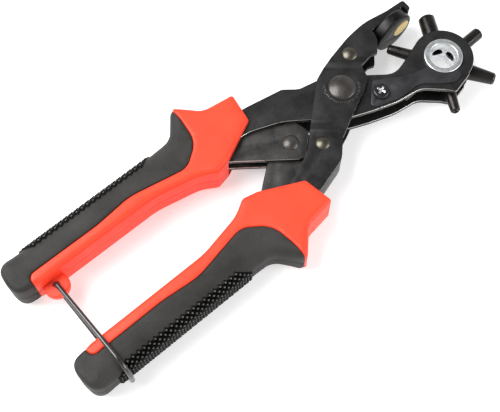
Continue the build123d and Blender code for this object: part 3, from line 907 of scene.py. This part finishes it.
def outer_side(station, run):
    """A place on the grip's rounded outer side and the way out of it.

    The station is X. The run, 0 to 1, goes round the side from the knurl's edge on top
    to its edge below.
    """
    reach, depth = RIM_OUTER
    (start_x, start_y), (end_x, end_y) = OUTER_EDGE
    edge_y = start_y + (end_y - start_y) * (station - start_x) / (end_x - start_x)
    turns = np.linspace(math.asin(1 - KNURL_INSET / reach), math.pi / 2, KNURL_ARC_POINTS)
    across = edge_y - reach + reach * np.sin(turns)
    height = GRIP_HALF - depth + depth * np.cos(turns)
    upper = np.stack([across, height], axis=1)
    line = np.concatenate([upper, upper[::-1] * (1, -1)])
    gaps = np.linalg.norm(np.diff(line, axis=0), axis=1)
    place = np.concatenate([[0], np.cumsum(gaps)])

    def along(distance):
        return np.array([np.interp(distance, place, line[:, k]) for k in range(2)])

    here = run * place[-1]
    ahead, behind = min(here + KNURL_PROBE, place[-1]), max(here - KNURL_PROBE, 0)
    step_y, step_z = along(ahead) - along(behind)
    out = np.array((0, -step_z, step_y)) / math.hypot(step_y, step_z)
    return np.array((station, *along(here))), out


def knurl_cell_used(column, row):
    """Diamonds stand on every other place of the grid; the pad's corners are cut back."""
    if (column + row) % 2 or not 0 < row < KNURL_ROWS:
        return False
    back = max(1, KNURL_CUT - min(row, KNURL_ROWS - row))
    return back <= column <= KNURL_COLUMNS - back


def knurl_mesh(name, mirror):
    """The knurled pad: blunt diamond pyramids on a sheet that is sunk into the grip's side."""
    verts, faces, corner_at = [], [], {}

    def corner(column, row, lift):
        key = (column, row, lift)
        if key not in corner_at:
            place, out = outer_side(KNURL_START - column * KNURL_PITCH, row / KNURL_ROWS)
            corner_at[key] = len(verts)
            verts.append(place + out * lift)
        return corner_at[key]

    def tip(centre_at, corner_at_base):
        places = [m + (c - m) * KNURL_FLAT for m, c in zip(centre_at, corner_at_base)]
        return corner(*places, KNURL_HEIGHT)

    grid = [(column, row) for column in range(KNURL_COLUMNS + 1) for row in range(KNURL_ROWS + 1)]
    cells = [cell for cell in grid if knurl_cell_used(*cell)]
    for column, row in cells:
        ring = [(column - 1, row), (column, row + 1), (column + 1, row), (column, row - 1)]
        low = [corner(c, r, KNURL_BASE) for c, r in ring]
        deep = [corner(c, r, KNURL_SUNK) for c, r in ring]
        flat = [tip((column, row), place) for place in ring]
        faces.append(tuple(flat))
        faces.append(tuple(reversed(deep)))
        for k in range(4):
            n = (k + 1) % 4
            faces.append((low[k], low[n], flat[n], flat[k]))
            beside = (ring[k][0] + ring[n][0] - column, ring[k][1] + ring[n][1] - row)
            if beside not in cells:
                faces.append((deep[k], deep[n], low[n], low[k]))
    return mesh_from(name, verts, faces, mirror)


def add_knurl(side, mirror):
    """The knurled pad of one grip: tips painted lighter than the rubber as painted glints, flanks painted
    near black as painted shade.
    """
    name = f"{side}_grip_knurl"
    piece = add_piece(name, knurl_mesh(name, mirror), f"{side}_handle", "black_rubber")
    piece.data.materials.append(KNURL)
    piece.data.materials.append(KNURL_TIP)
    for face in piece.data.polygons:
        # small faces are tips with the painted glint, the rest are flanks with painted shade
        face.material_index = int(face.area < KNURL_TIP_AREA)


def make_grip(side, mirror):
    """The red moulding and the black cover of one grip, cut out for the jaw inside."""
    rim = rounded_outline(GRIP_CORNERS, OUTLINE_STEP)
    seam = rounded_outline(COVER_CORNERS, SEAM_STEP)
    points, heights, faces, in_cover = grip_top(rim, seam, rim_sizes(rim))
    for part, chosen, material, slot in (
        ("body", ~in_cover, RED, "red_plastic"),
        ("cover", in_cover, RUBBER, "black_rubber"),
    ):
        node = f"{side}_grip_{part}"
        verts, solid = shell(points, heights, faces[chosen], rim)
        mesh = mesh_from(f"{node}_moulded", verts, solid, mirror)
        piece = add_piece(mesh.name, mesh, f"{side}_handle", slot, node)
        combine(piece, cutter(POCKET_CORNERS, POCKET_HALF, mirror), "DIFFERENCE")
        if node == "upper_grip_body":
            combine(piece, loose_solid(*tab_ring()), "UNION")
        piece.data.materials.clear()
        piece.data.materials.append(material)
        smooth_by_angle(piece.data, GRIP_SHARP)


make_grip("upper", False)
make_grip("lower", True)
add_knurl("upper", False)
add_knurl("lower", True)


# ---------------------------------------------------------------- studio
LIT_PLACE = at(-50, 0)
VIEWED_PLACE = at(-65.5, -14.5)
CAMERA_ELEVATION = math.radians(67.62)
CAMERA_AZIMUTH = math.radians(-40.13)
CAMERA_DISTANCE = 0.4293
FLOOR_HALF = 1.6


def floor_material():
    """Pale matte paper that shines a little, so that shadows stay soft."""
    recipe = Recipe("studio_floor")
    cloud = recipe.noise(6, 3)
    recipe.set(
        Base_Color=recipe.colours(cloud, (0.3, (0.7, 0.7, 0.705)), (0.7, (0.73, 0.73, 0.73))),
        Roughness=0.6,
        Emission_Color=(1.0, 1.0, 1.0, 1.0),
        Emission_Strength=0.5,
    )
    return recipe.material


def make_floor():
    mesh = bpy.data.meshes.new("studio_floor")
    corners = [Vector((x, y, 0)) * FLOOR_HALF for x, y in ((-1, -1), (1, -1), (1, 1), (-1, 1))]
    mesh.from_pydata(corners, [], [(0, 1, 2, 3)])
    mesh.materials.append(floor_material())
    floor = bpy.data.objects.new("studio_floor", mesh)
    bpy.context.scene.collection.objects.link(floor)


def aim(thing, target, back, distance):
    """Puts a lamp or camera at a distance from its target and turns it to look there."""
    thing.location = target + back * distance
    thing.rotation_mode = "QUATERNION"
    thing.rotation_quaternion = back.to_track_quat("Z", "Y")
    bpy.context.scene.collection.objects.link(thing)


def area_light(name, direction, distance, sides, power):
    light = bpy.data.lights.new(name, "AREA")
    light.shape = "RECTANGLE"
    light.size, light.size_y = sides
    light.energy = power
    aim(bpy.data.objects.new(name, light), LIT_PLACE, Vector(direction).normalized(), distance)


def make_world(horizon, overhead):
    """White surroundings that are dimmer overhead than at the horizon."""
    world = bpy.data.worlds.new("studio")
    bpy.context.scene.world = world
    world.use_nodes = True
    tree = world.node_tree
    background = tree.nodes["Background"]
    background.inputs["Color"].default_value = (1.0, 1.0, 1.0, 1.0)
    coords = tree.nodes.new("ShaderNodeTexCoord")
    parts = tree.nodes.new("ShaderNodeSeparateXYZ")
    fade = tree.nodes.new("ShaderNodeMapRange")
    tree.links.new(coords.outputs["Generated"], parts.inputs["Vector"])
    tree.links.new(parts.outputs["Z"], fade.inputs["Value"])
    fade.inputs["From Min"].default_value = 0.2
    fade.inputs["From Max"].default_value = 0.75
    fade.inputs["To Min"].default_value = horizon
    fade.inputs["To Max"].default_value = overhead
    tree.links.new(fade.outputs["Result"], background.inputs["Strength"])


def make_camera():
    """Looks down on the tool from the front left, as a catalogue picture does."""
    level = math.cos(CAMERA_ELEVATION)
    back = Vector(
        (
            math.sin(CAMERA_AZIMUTH) * level,
            -math.cos(CAMERA_AZIMUTH) * level,
            math.sin(CAMERA_ELEVATION),
        )
    )
    camera = bpy.data.cameras.new("camera")
    camera.lens = 71.9
    camera.sensor_width = 36.0
    camera.clip_start, camera.clip_end = 0.01, 20.0
    rig = bpy.data.objects.new("camera", camera)
    aim(rig, VIEWED_PLACE, back, CAMERA_DISTANCE)
    bpy.context.scene.camera = rig


make_floor()
make_world(horizon=0.85, overhead=0.25)
area_light("key", (-0.6, 0.65, 1.2), 0.9, (0.7, 0.7), 14.0)
area_light("fill", (0.5, -0.95, 0.55), 1.0, (0.7, 0.18), 5.0)
make_camera()
bpy.context.scene.view_settings.view_transform = "Standard"
